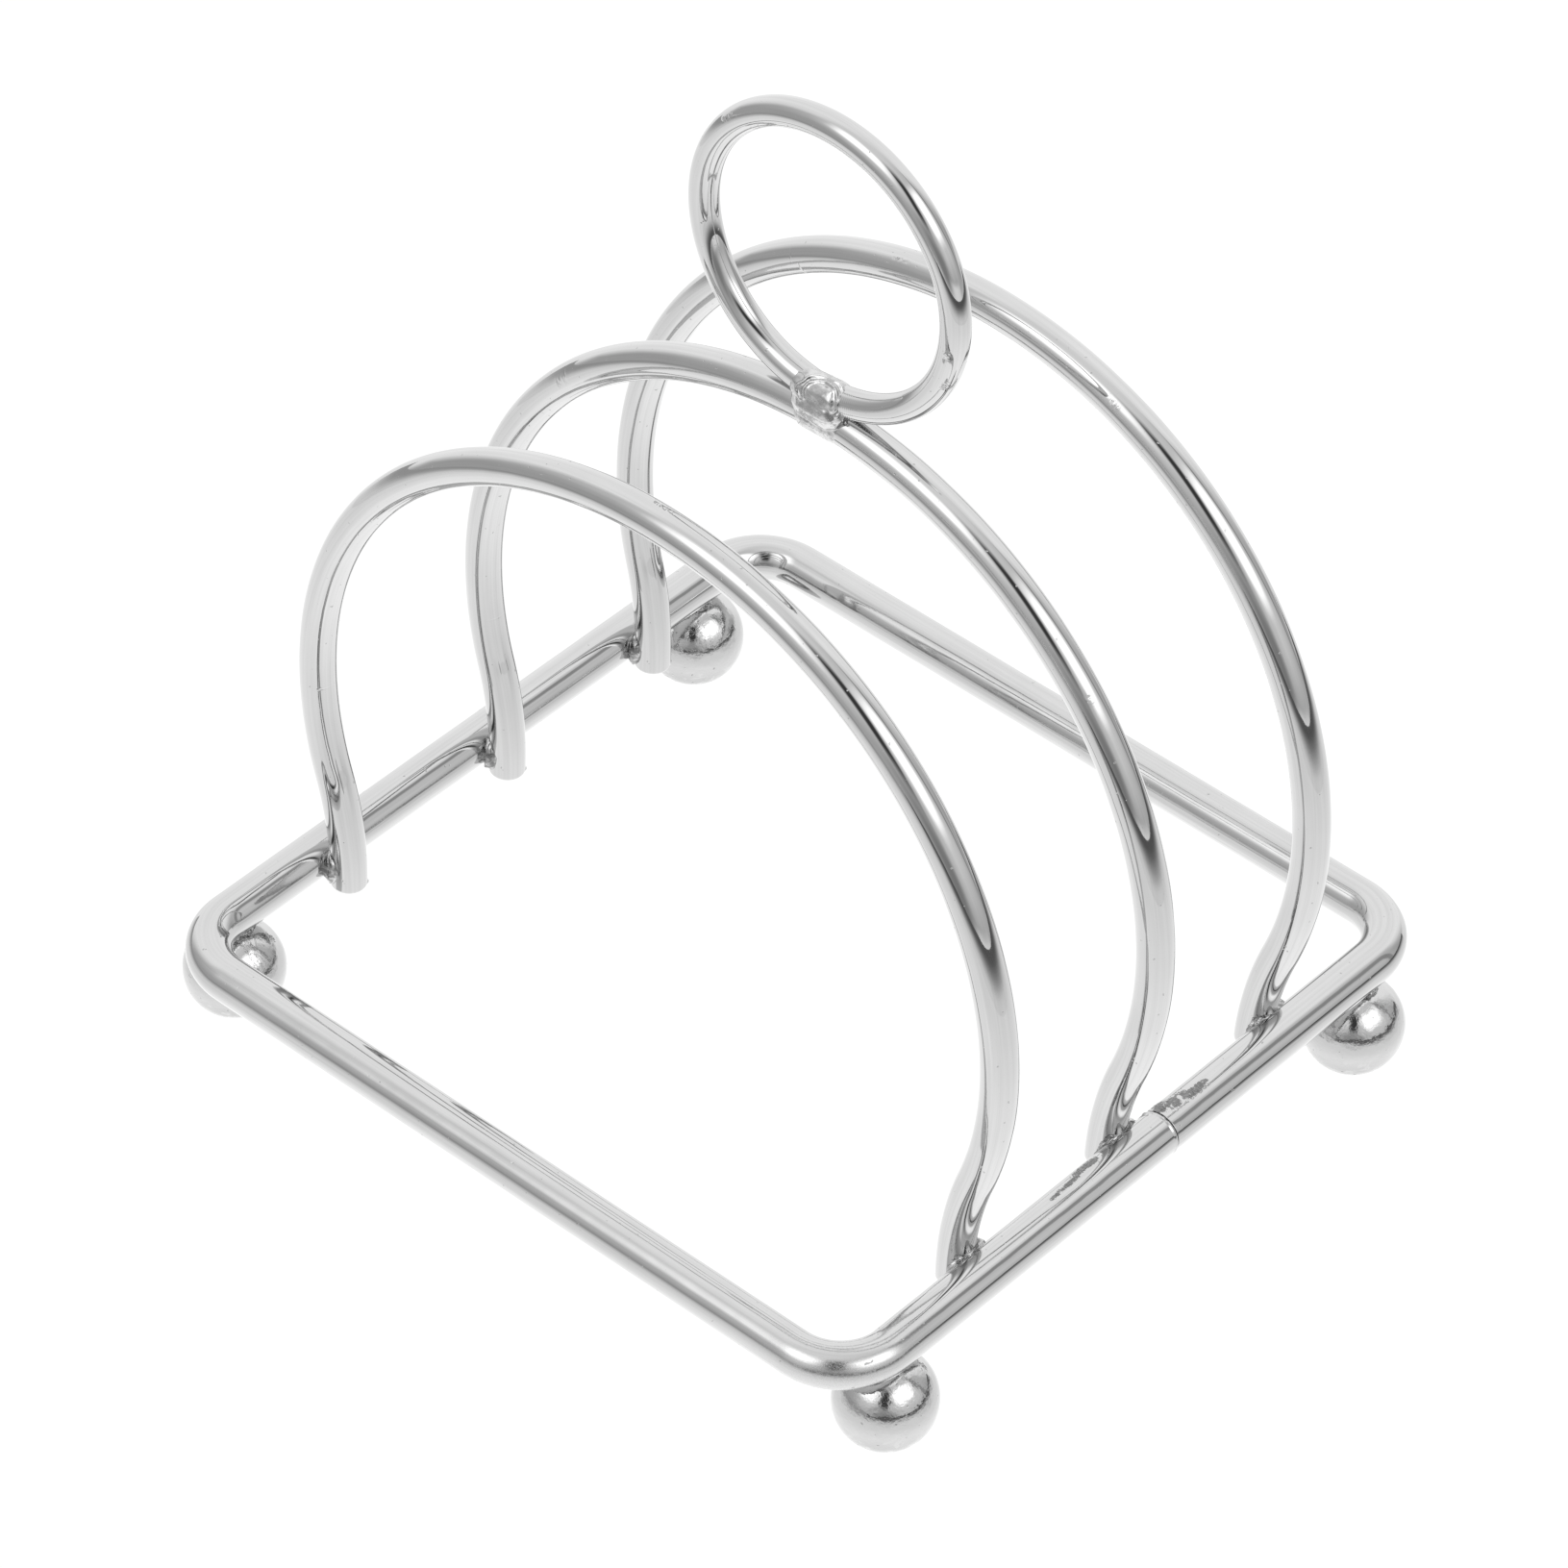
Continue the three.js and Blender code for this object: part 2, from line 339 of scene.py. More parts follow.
def weld_metal(name, crumple_depth, dullest, brightest):
    """Metal squeezed out of a weld and plated over: crumpled, part bright and part dull."""
    material, graph = new_material(name)
    place = graph.node("ShaderNodeTexCoord").outputs["Object"]
    soot = graph.noise(place, size=1.1 * MM, detail=4.0, roughness=0.65, distortion=0.4)
    crumples = graph.noise(place, size=0.4 * MM, detail=3.0, roughness=0.6, distortion=0.5)
    colour = graph.ease(soot, low=0.38, high=0.62, start=dullest, end=brightest)
    roughness = graph.ease(soot, low=0.3, high=0.7, start=0.24, end=0.07)
    finish_metal(graph, colour, roughness, graph.bump(crumples, depth=crumple_depth))
    return material


# ---- Routes of the bent wires ----

# Where a point looks for bends near it: up to 6 mm to either side along the wire.
BEND_REACH = 6.0 * MM
BEND_OFFSETS = [BEND_REACH * k / 4 for k in range(-4, 5)]


class Line:
    """Straight wire. bent is how much its surface was roughened in the bending, from 0 to 1."""

    def __init__(self, start, end, bent=0.0):
        self.start, self.end, self.bent = Vector(start), Vector(end), bent
        self.length = (self.end - self.start).length

    def at(self, distance):
        along = (self.end - self.start) / self.length
        return self.start + along * distance, along


class Arc:
    """Wire bent about a centre, from the start angle to the end angle in radians."""

    def __init__(self, centre, radius, start, end, bent=0.0):
        self.centre, self.radius, self.start, self.end = Vector(centre), radius, start, end
        self.bent = bent
        self.length = radius * abs(end - start)

    def at(self, distance):
        sign = 1 if self.end > self.start else -1
        angle = self.start + sign * distance / self.radius
        out = Vector((math.cos(angle), math.sin(angle)))
        along = Vector((-math.sin(angle), math.cos(angle))) * sign
        return self.centre + out * self.radius, along


class Route:
    """Lines and arcs drawn flat, one after the other, measured by the distance along them."""

    def __init__(self, *pieces):
        self.pieces = pieces
        self.length = sum(piece.length for piece in pieces)

    def piece_at(self, distance):
        for piece in self.pieces[:-1]:
            if distance <= piece.length:
                return piece, distance
            distance -= piece.length
        return self.pieces[-1], distance

    def at(self, distance):
        piece, rest = self.piece_at(distance)
        return piece.at(rest)

    def bent(self, distance):
        """How rough a point is from the bending, fading into the neighbouring pieces."""
        near = [self.piece_at(distance + offset)[0].bent for offset in BEND_OFFSETS]
        return sum(near) / len(near)


def stations(length, fine_spans):
    """Distances along a wire, with the step of the first fine span (low, high, step) around it."""
    found = [0.0]
    while found[-1] < length:
        here = found[-1]
        steps = [step for low, high, step in fine_spans if low <= here <= high]
        found.append(here + (steps[0] if steps else COARSE_STEP))
    found[-1] = length
    return found


# ---- Meshes ----

def direction(azimuth, elevation):
    """From the rack outwards. Azimuth 0 is the front and 90 the right, in degrees."""
    a, e = math.radians(azimuth), math.radians(elevation)
    return Vector((math.sin(a) * math.cos(e), -math.cos(a) * math.cos(e), math.sin(e)))


def axes_round(azimuth, elevation):
    """That direction, with right and up as seen by someone who looks at the rack from there."""
    facing = direction(azimuth, elevation)
    sideways = direction(azimuth + 90, 0)
    return facing, sideways, facing.cross(sideways)


def join_rings(work, rings):
    """Quads between each ring of points and the next."""
    for first, second in zip(rings, rings[1:]):
        for index in range(len(first)):
            after = (index + 1) % len(first)
            work.faces.new((first[index], first[after], second[after], second[index]))


def mesh_object(name, build, material):
    mesh = bpy.data.meshes.new(name)
    work = bmesh.new()
    build(work)
    work.to_mesh(mesh)
    work.free()
    mesh.materials.append(material)
    made = bpy.data.objects.new(name, mesh)
    bpy.context.scene.collection.objects.link(made)
    return made


def add_piece(name, build, material, node):
    """A smooth-shaded piece that stands for a CAD node and rides on the rack's only body."""
    def build_solid(work):
        build(work)
        bmesh.ops.recalc_face_normals(work, faces=work.faces)

    piece = mesh_object(name, build_solid, material)
    piece.data.shade_smooth()
    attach(piece, "root")
    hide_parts(node)


def sections(length, fine_spans, rim):
    """The cross sections of a wire, as (distance, how much its radius drops at a rounded end)."""
    turns = [math.pi / 2 * k / ROUNDING_STEPS for k in range(ROUNDING_STEPS, 0, -1)]
    rounding = [(rim * (1 - math.sin(turn)), rim * (1 - math.cos(turn))) for turn in turns]
    inner = [here for here in stations(length, fine_spans) if rim < here < length - rim]
    middle = [(here, 0.0) for here in (rim, *inner, length - rim)]
    return rounding + middle + [(length - here, drop) for here, drop in reversed(rounding)]


def sweep(route, radius, place, sides, shape, fine_spans, rim=CUT_RIM):
    """A builder for a round wire along a flat route that place stands up in space. shape gives
    the extra radius and the worn share at (distance, angle, the point on the straightened wire)."""

    def build(work):
        local = work.verts.layers.float_vector.new("wire_place")
        worn = work.verts.layers.float.new("worn")
        bent = work.verts.layers.float.new("bent")
        across = place.to_3x3() @ Vector((0, 0, 1))
        rings = []
        for distance, drop in sections(route.length, fine_spans, rim):
            flat, along = route.at(distance)
            middle = place @ Vector((flat.x, flat.y, 0))
            sideways = (place.to_3x3() @ Vector((along.x, along.y, 0))).cross(across)
            roughness = route.bent(distance)
            ring = []
            for side in range(sides):
                angle = 2 * math.pi * side / sides
                out = across * math.cos(angle) + sideways * math.sin(angle)
                straight = Vector((radius * math.cos(angle), radius * math.sin(angle), distance))
                size = radius - drop + WAVE_DEPTH * noise.fractal(straight / WAVE_LENGTH, *WAVE_FRACTAL)
                extra, wear = shape(distance, angle, straight)
                # Only the frame has scraped bends, and their outside lies at 90 degrees.
                outer = max(0.0, math.sin(angle))
                vert = work.verts.new(middle + out * (size + extra))
                vert[local] = straight
                vert[worn] = wear
                vert[bent] = roughness * (SCRAPED_ALL_ROUND + (1 - SCRAPED_ALL_ROUND) * outer)
                ring.append(vert)
            rings.append(ring)
        join_rings(work, rings)
        work.faces.new(rings[0])
        work.faces.new(rings[-1])

    return build


def blob(value, middle, half):
    """1 at the middle of a span, falling smoothly to 0 at its ends."""
    share = min(1.0, abs(value - middle) / half)
    return (1 - share * share) ** 2


def angle_from(angle, middle):
    """The signed turn from middle to angle, the short way round."""
    return (angle - middle + math.pi) % (2 * math.pi) - math.pi


SCUFF_DEPTH = 0.10 * MM
SCUFF_FILL = 2.2  # above 1, so that a scuff is fully worn over all of its middle
SCUFF_PATCHINESS = 1.6
SCUFF_PATCH = 0.9 * MM
STROKE = Vector((0.5, 0.5, 0.25)) * MM  # one stroke of a scuff: longer round the wire than along
GROOVE_DEPTH = 0.012 * MM
GROOVE_WIDTH = 0.14 * MM
# In mm. Fine steps start early at a groove, because a coarse step may jump over their start.
GROOVE_FINE_BEFORE, GROOVE_FINE_AFTER = 0.8, 0.4


def marked(scuffs, grooves=()):
    """The shape of a wire with scuffs (distance, half length, angle, half angle, strength) and
    fine grooves part way round it (distance, angle, half angle). In mm and degrees."""

    def shape(distance, angle, straight):
        extra, wear = 0.0, 0.0
        for middle, half, at, half_angle, strength in scuffs:
            if abs(distance - middle * MM) > half * MM:
                continue
            around = blob(angle_from(angle, math.radians(at)), 0, math.radians(half_angle))
            share = SCUFF_FILL * blob(distance, middle * MM, half * MM) * around
            share *= max(0.0, 1.0 + SCUFF_PATCHINESS * noise.noise(straight / SCUFF_PATCH))
            share = strength * min(1.0, share)
            stroke = Vector(part / size for part, size in zip(straight, STROKE))
            extra += SCUFF_DEPTH * share * noise.noise(stroke)
            wear = max(wear, share)
        for middle, at, half_angle in grooves:
            around = blob(angle_from(angle, math.radians(at)), 0, math.radians(half_angle))
            extra -= GROOVE_DEPTH * around * blob(distance, middle * MM, GROOVE_WIDTH)
        return extra, wear

    return shape


def fine_round(scuffs, grooves=()):
    """The spans along a wire that its scuffs and grooves need fine steps in."""
    spans = [(middle - half, middle + half, FINE_STEP) for middle, half, *_ in scuffs]
    for middle, *_ in grooves:
        spans.append((middle - GROOVE_FINE_BEFORE, middle + GROOVE_FINE_AFTER, FINEST_STEP))
    return [(low * MM, high * MM, step) for low, high, step in spans]


CRUMPLE_FRACTAL = (0.6, 2.1, 4)  # as WAVE_FRACTAL
SEED_SHIFT = (1.0, 2.3, -1.7)  # how far a seed moves the noise
FOLD_SCALE, FOLD_SHARE = 2.3, 0.6  # how much finer than the crumpling its sharp folds are, and how deep


def skin(name, balls, material, node, grain, depth, seed, voxel=0.13, smoothing=4):
    """One closed skin over overlapping balls (centre, radius), crumpled by noise as coarse as
    grain. It is made in millimetres, because the remesher's smallest cell is coarse in metres;
    voxel, the size of its cells, is in millimetres too."""
    work = bmesh.new()
    for centre, radius in balls:
        place = Matrix.Translation(Vector(centre) / MM)
        bmesh.ops.create_icosphere(work, subdivisions=2, radius=radius / MM, matrix=place)
    rough = bpy.data.meshes.new(name + "_lumps")
    work.to_mesh(rough)
    work.free()
    carrier = bpy.data.objects.new(name + "_lumps", rough)
    bpy.context.scene.collection.objects.link(carrier)
    remesh = carrier.modifiers.new("skin", "REMESH")
    remesh.mode = "VOXEL"
    remesh.voxel_size = voxel
    smooth = carrier.modifiers.new("soften", "SMOOTH")
    smooth.iterations = smoothing
    evaluated = carrier.evaluated_get(bpy.context.evaluated_depsgraph_get())
    skinned = bpy.data.meshes.new_from_object(evaluated)
    bpy.data.objects.remove(carrier)
    shift = Vector(part * seed for part in SEED_SHIFT)

    def build(target):
        target.from_mesh(skinned)
        target.normal_update()
        moved = []
        for vert in target.verts:
            at = vert.co / (grain / MM) + shift
            folds = abs(noise.noise(at * FOLD_SCALE))
            height = noise.fractal(at, *CRUMPLE_FRACTAL) - FOLD_SHARE * folds
            moved.append(vert.co + vert.normal * height * depth / MM)
        for vert, spot in zip(target.verts, moved):
            vert.co = spot * MM

    add_piece(name, build, material, node)


# ---- The base frame ----

MILD_BEND = 0.12
JOINT_CRACK = 0.16 * MM
JOINT_LIP = 0.08 * MM  # the height of the ridge that the forward end was squeezed up into
JOINT_LIP_LENGTH = 0.45 * MM
JOINT_SLIP = 0.08 * MM  # how far the underside of the rear end sits in, at most
JOINT_FINE_AFTER, JOINT_FINE_BEFORE = 0.8 * MM, 0.6 * MM


def frame_route():
    """Anticlockwise from the joint. The front right bend is scraped rougher than the others."""
    x, y, r = RAIL_HALF_WIDTH, RAIL_HALF_DEPTH, RAIL_BEND_RADIUS
    quarter = math.pi / 2
    return Route(
        Line((x, JOINT_Y + JOINT_CRACK / 2), (x, y - r)),
        Arc((x - r, y - r), r, 0, quarter, MILD_BEND),
        Line((x - r, y), (r - x, y), 2 * MILD_BEND),
        Arc((r - x, y - r), r, quarter, 2 * quarter, MILD_BEND),
        Line((-x, y - r), (-x, r - y)),
        Arc((r - x, r - y), r, 2 * quarter, 3 * quarter, MILD_BEND),
        Line((r - x, -y), (x - r, -y)),
        Arc((x - r, r - y), r, -quarter, 0, 1.0),
        Line((x, r - y), (x, JOINT_Y - JOINT_CRACK / 2)),
    )


# Burnt tack marks on the upper inner face of the right rail: the distance of their middle
# behind the joint (negative in front of it), half length, angle, half angle and strength. Angle
# 0 is the top of the wire and 90 its outer side.
TACK_MARKS = [
    (-0.7, 0.9, -48, 26, 0.8),
    (0.9, 1.5, -28, 42, 1.0),
    (2.6, 2.6, -8, 26, 1.0),
    (5.0, 2.2, 2, 17, 1.0),
    (6.6, 1.0, 0, 10, 0.9),
    (-10.9, 2.6, -26, 20, 1.0),
    (-14.2, 2.4, -14, 12, 1.0),
    (-16.8, 1.6, -10, 8, 1.0),
]


def build_frame(material):
    """The thick wire, with its two ends squeezed together at the joint."""
    route = frame_route()
    total = route.length
    marks = [(middle if middle > 0 else total / MM + middle, *rest) for middle, *rest in TACK_MARKS]
    scuffed = marked(marks)

    def shape(distance, angle, straight):
        extra, wear = scuffed(distance, angle, straight)
        extra += JOINT_LIP * blob(total - distance, JOINT_LIP_LENGTH / 2, JOINT_LIP_LENGTH / 2)
        if distance < 2 * JOINT_LIP_LENGTH:
            fade = 1 - distance / (2 * JOINT_LIP_LENGTH)
            extra -= 0.5 * JOINT_SLIP * fade * (1 - math.cos(angle))
        return extra, wear

    ends = [(0.0, JOINT_FINE_AFTER, FINEST_STEP), (total - JOINT_FINE_BEFORE, total, FINEST_STEP)]
    fine = ends + fine_round(marks)
    place = Matrix.Translation((0, 0, RAIL_HEIGHT))
    builder = sweep(route, RAIL_RADIUS, place, FRAME_SIDES, shape, fine, rim=BUTT_RIM)
    add_piece("base_rail", builder, material, "base_frame")


SEAM_HALF_WIDTH = 0.22 * MM
SEAM_SUNK = 0.30 * MM  # how far below the wire's surface the edges of the seam lie
SEAM_SWELL = 0.05 * MM  # how much its middle swells, and how much its lumps vary
SEAM_LUMPS = 4.0  # how fine the lumps are
SEAM_PLANE = 0.3  # where the noise that they come from is cut
SEAM_STEPS, SEAM_SIDES = 8, 72


def build_joint(material):
    """The thin seam of weld metal in the crack between the two ends of the frame wire."""
    reach = RAIL_RADIUS - SEAM_SUNK

    def build(work):
        rings = []
        for step in range(SEAM_STEPS + 1):
            turn = math.pi * step / SEAM_STEPS
            ring = []
            for side in range(SEAM_SIDES):
                angle = 2 * math.pi * side / SEAM_SIDES
                lump = noise.noise(Vector((math.cos(angle), math.sin(angle), SEAM_PLANE)) * SEAM_LUMPS)
                radius = reach + (SEAM_SWELL + SEAM_SWELL * lump) * math.sin(turn)
                ring.append(work.verts.new((
                    RAIL_HALF_WIDTH + radius * math.sin(angle),
                    JOINT_Y - SEAM_HALF_WIDTH * math.cos(turn),
                    RAIL_HEIGHT + radius * math.cos(angle),
                )))
            rings.append(ring)
        join_rings(work, rings)
        work.faces.new(rings[0])
        work.faces.new(rings[-1])

    add_piece("joint_weld", build, material, "frame_joint_weld")


# ---- Feet ----

FOOT_SEED = 11  # the first foot's; each next foot takes the next one
BALL_STEPS, BALL_SIDES = 72, 112
BALL_WAVE_DEPTH = 0.006 * MM  # how far a ball is from perfectly round
BALL_WAVES = 2.5  # how fine its waves are

# The collar on a ball: a core up inside the rail, and an oval of lumps round it.
CORE_RADIUS, CORE_RAISED = 0.7 * MM, 0.1 * MM
COLLAR_LUMPS = 34
COLLAR_REACH, COLLAR_LUMP_RADIUS = (1.25, 1.75), (0.28, 0.50)  # the least and the most, in mm
COLLAR_STRETCH = 1.25  # how much longer the oval is along the rail than across it
COLLAR_DROP = 0.05 * MM
COLLAR_CLIMB = 0.10 * MM  # how far its sides follow the rail upwards


def build_ball(corner, centre, material, seed):
    """A ball worn flat where it stands on the table."""
    patch = math.asin(BALL_PATCH_RADIUS / BALL_RADIUS)

    def build(work):
        foot = work.verts.new(centre - Vector((0, 0, BALL_HEIGHT)))
        crown = work.verts.new(centre + Vector((0, 0, BALL_RADIUS)))
        rings = []
        for step in range(BALL_STEPS):
            tilt = patch + (math.pi - patch) * step / BALL_STEPS
            ring = []
            for side in range(BALL_SIDES):
                angle = 2 * math.pi * side / BALL_SIDES
                out = Vector((
                    math.sin(tilt) * math.cos(angle),
                    math.sin(tilt) * math.sin(angle),
                    -math.cos(tilt),
                ))
                bulge = noise.noise(out * BALL_WAVES + Vector((seed, 0, 0)))
                wave = BALL_WAVE_DEPTH * bulge * math.sin(tilt)
                ring.append(work.verts.new(centre + out * (BALL_RADIUS + wave)))
            rings.append(ring)
        join_rings(work, rings)
        for tip, ring in ((foot, rings[0]), (crown, rings[-1])):
            for side in range(BALL_SIDES):
                work.faces.new((tip, ring[side], ring[(side + 1) % BALL_SIDES]))

    add_piece(f"ball_{corner}", build, material, f"foot_{corner}")


def build_ball_weld(corner, centre, material, seed):
    """A ragged collar where the ball was pressed onto the underside of the rail."""
    dice = random.Random(seed)
    rail_x = math.copysign(RAIL_HALF_WIDTH, centre.x)
    under = RAIL_HEIGHT - RAIL_RADIUS
    lumps = [((rail_x, centre.y, under + CORE_RAISED), CORE_RADIUS)]
    for index in range(COLLAR_LUMPS):
        angle = 2 * math.pi * index / COLLAR_LUMPS
        reach = dice.uniform(*COLLAR_REACH) * MM
        spot = (
            (rail_x + centre.x) / 2 + reach * math.cos(angle),
            centre.y + COLLAR_STRETCH * reach * math.sin(angle),
            under - COLLAR_DROP + COLLAR_CLIMB * math.cos(2 * angle),
        )
        lumps.append((spot, dice.uniform(*COLLAR_LUMP_RADIUS) * MM))
    skin(
        f"ball_weld_{corner}", lumps, material, f"foot_weld_{corner}",
        grain=0.7 * MM, depth=0.12 * MM, seed=seed,
    )


def build_foot(corner, ball_material, weld_material, seed):
    middle = box_middle(f"foot_{corner}")
    centre = Vector((middle.x, middle.y, BALL_HEIGHT))
    build_ball(corner, centre, ball_material, seed)
    build_ball_weld(corner, centre, weld_material, seed)


# ---- Arches ----

def arch_place(arch):
    """Turned about the height of the side rails, where the legs are held."""
    shift = Vector(arch["at"]) * MM
    turns = Matrix.Rotation(math.radians(arch["yaw"]), 4, "Z")
    turns = turns @ Matrix.Rotation(math.radians(-arch["lean"]), 4, "X")
    turns = turns @ Matrix.Rotation(math.radians(arch["turn"]), 4, "Y")
    pivot = Vector((0, 0, RAIL_HEIGHT))
    return Matrix.Translation(shift + pivot) @ turns @ Matrix.Translation(-pivot)


def arch_route(arch):
    """From the cut end of the left leg over the round top to the cut end of the right leg."""
    back = arch_place(arch).inverted()
    reach = ARCH_RADIUS + LEG_BEND_RADIUS
    bend_x = LEG_X + LEG_BEND_RADIUS
    meeting = math.acos(bend_x / reach)
    bend_z = ARCH_CENTRE_HEIGHT - reach * math.sin(meeting)

    def end_angle(side, height):
        end = back @ Vector((side * LEG_X, arch["at"][1] * MM, height * MM))
        return math.asin((end.z - bend_z) / LEG_BEND_RADIUS)

    left, right = arch["ends"]
    return Route(
        Arc((-bend_x, bend_z), LEG_BEND_RADIUS, end_angle(-1, left), meeting),
        Arc((0, ARCH_CENTRE_HEIGHT), ARCH_RADIUS, math.pi + meeting, -meeting),
        Arc((bend_x, bend_z), LEG_BEND_RADIUS, math.pi - meeting, math.pi - end_angle(1, right)),
    )


# Stands a flat drawing up facing the front: its second axis becomes +Z.
UPRIGHT = Euler((math.pi / 2, 0, 0)).to_matrix().to_4x4()


def leg_point(arch, side):
    """The middle of a leg at the height of the side rails."""
    return arch_place(arch) @ Vector((side * LEG_X, 0, RAIL_HEIGHT))


# What the photo shows on each arch, scuffs and then grooves, as marked() takes them. Angle 0 is
# the front of the wire and 90 its inner side.
ARCH_MARKS = {
    "front": ([(102.3, 1.8, -90, 22, 0.3)], [(27.0, 60, 30)]),
    "middle": ([(63.6, 1.3, -15, 24, 0.4), (141.0, 0.9, -60, 14, 0.4)], [(21.1, 75, 40), (64.4, -30, 40)]),
    "rear": ([(89.7, 1.6, -54, 10, 0.5), (118.0, 1.0, -40, 10, 0.4)], [(74.3, -40, 45), (75.2, 30, 40)]),
}


# The small burr that the saw left on the rim of each left leg's cut end.
CUT_BURR = 0.12 * MM
CUT_BURR_LENGTH = 0.30 * MM
CUT_BURR_ANGLE = math.radians(128)
CUT_BURR_HALF_ANGLE = math.radians(14)

# What each arch's left and right leg weld draws its folds and burrs from.
LEG_WELD_SEEDS = {"front": (32, 33), "middle": (39, 40), "rear": (46, 47)}


def build_arch(name, arch, wire_material, weld_material):
    """An arch and the welds of its two legs."""
    marks = ARCH_MARKS[name]
    scuffed = marked(*marks)

    def shape(distance, angle, straight):
        extra, wear = scuffed(distance, angle, straight)
        around = blob(angle_from(angle, CUT_BURR_ANGLE), 0, CUT_BURR_HALF_ANGLE)
        return extra + CUT_BURR * around * blob(distance, CUT_RIM, CUT_BURR_LENGTH), wear

    fine = [(0.0, CUT_RIM + CUT_BURR_LENGTH, FINEST_STEP)] + fine_round(*marks)
    place = arch_place(arch) @ UPRIGHT
    builder = sweep(arch_route(arch), ARCH_WIRE_RADIUS, place, WIRE_SIDES, shape, fine)
    add_piece(f"arch_wire_{name}", builder, wire_material, f"arch_{name}")
    for (side_name, side), seed in zip(SIDES.items(), LEG_WELD_SEEDS[name]):
        build_leg_weld(f"{name}_{side_name}", leg_point(arch, side), side, weld_material, seed)


RIDGE_HEIGHT, RIDGE_SLOPE = 0.45, 2.2
FINE_FOLDS_SHARE, FINE_FOLDS_SCALE = 0.3, 2.1
FINE_FOLDS_SHIFT = Vector((5.2, 1.3, 7.7))


def ridges(at):
    """RIDGE_HEIGHT along sharp ridges, falling away below 0 between them."""
    return RIDGE_HEIGHT - RIDGE_SLOPE * abs(noise.noise(at))


def crumple(at):
    """Folds with sharp ridges, and finer ones over them."""
    return ridges(at) + FINE_FOLDS_SHARE * ridges(at * FINE_FOLDS_SCALE + FINE_FOLDS_SHIFT)


# The metal squeezed out at a leg, in mm: how thick it is, how much it swells at its fuller end,
# the depth of its folds and the length of its longest burrs; then how far it is drawn out along
# the rail, how far across the rail it lies, and how many folds run round it and along it. Left
# legs were pressed in harder in front, right ones behind.
FLASH_LEFT = {
    "thick": 0.36, "swell": 0.60, "fold": 0.20, "burr": 0.4,
    "drawn_out": 1.15, "sunk": 0.65, "folds_round": 1.0, "folds_along": 0.9,
}
FLASH_RIGHT = {
    "thick": 0.46, "swell": 0.40, "fold": 0.26, "burr": 1.2,
    "drawn_out": 1.45, "sunk": 1.0, "folds_round": 0.9, "folds_along": 1.5,
}


FLASH_STEPS, FLASH_SIDES = 300, 30
FLASH_THINNEST = 0.12 * MM
FOLD_PLANE = 0.4  # where, past the seed, the noise of the folds is cut
TANGENT_STEP = 0.05  # radians to either side of the point that the rope's direction is taken at
BURRS_AT_END = 3
BURR_SPREAD = 0.8  # radians to either side of the front or the rear end of the rope
BURR_SHARES = (0.3, 1.0)  # the shortest and the longest, as shares of the longest burr
BURR_WIDTH, BURR_BREADTH = 0.09, 0.5  # radians along the rope and round it


def draw_burrs(flash, seed):
    """Burrs at the front and the rear end, as (turn along the rope, angle round it, length)."""
    dice = random.Random(seed)
    burrs = []
    for end in (-math.pi / 2, math.pi / 2):
        for _ in range(BURRS_AT_END):
            burrs.append((
                end + dice.uniform(-BURR_SPREAD, BURR_SPREAD),
                dice.uniform(0, 2 * math.pi),
                dice.uniform(*BURR_SHARES) * flash["burr"] * MM,
            ))
    return burrs


def build_leg_weld(name, leg, side, material, seed):
    """A closed, crumpled rope of metal squeezed out round the oval where the leg is sunk into
    the inner side of the rail, with burrs standing off it in front and behind."""
    flash = FLASH_LEFT if side < 0 else FLASH_RIGHT
    burrs = draw_burrs(flash, seed)
    spacing = RAIL_HALF_WIDTH - abs(leg.x)
    half_y = math.sqrt(ARCH_WIRE_RADIUS ** 2 - (spacing - RAIL_RADIUS) ** 2)
    middle = Vector((leg.x + side * ARCH_WIRE_RADIUS / 2, leg.y, RAIL_HEIGHT))

    def spine(turn):
        dy = half_y * math.sin(turn)
        depth = math.sqrt(ARCH_WIRE_RADIUS ** 2 - dy ** 2)
        dz = math.sqrt(max(0.0, RAIL_RADIUS ** 2 - (spacing - depth) ** 2))
        rise = math.copysign(dz, math.cos(turn))
        x = leg.x + side * flash["sunk"] * depth
        return Vector((x, leg.y + flash["drawn_out"] * dy, RAIL_HEIGHT + rise))

    def thickness(turn, angle):
        thick = (flash["thick"] + flash["swell"] * max(0.0, side * math.sin(turn))) * MM
        drift = Vector((math.cos(turn), math.sin(turn), 0)) * flash["folds_along"]
        turned = Vector((math.cos(angle), math.sin(angle), 0)) * flash["folds_round"]
        extra = flash["fold"] * MM * crumple(turned + drift + Vector((0, 0, seed + FOLD_PLANE)))
        for at, facing, length in burrs:
            ahead = angle_from(turn, at) / BURR_WIDTH
            aside = angle_from(angle, facing) / BURR_BREADTH
            extra += length * math.exp(-(ahead ** 2 + aside ** 2))
        return max(thick + extra, FLASH_THINNEST)

    def build(work):
        rings = []
        for step in range(FLASH_STEPS):
            turn = 2 * math.pi * step / FLASH_STEPS
            here = spine(turn)
            along = (spine(turn + TANGENT_STEP) - spine(turn - TANGENT_STEP)).normalized()
            outward = (here - middle - along * along.dot(here - middle)).normalized()
            across = along.cross(outward)
            ring = []
            for index in range(FLASH_SIDES):
                angle = 2 * math.pi * index / FLASH_SIDES
                out = outward * math.cos(angle) + across * math.sin(angle)
                ring.append(work.verts.new(here + out * thickness(turn, angle)))
            rings.append(ring)
        join_rings(work, rings + rings[:1])

    add_piece(f"leg_flash_{name}", build, material, f"leg_weld_{name}")


# ---- The ring ----

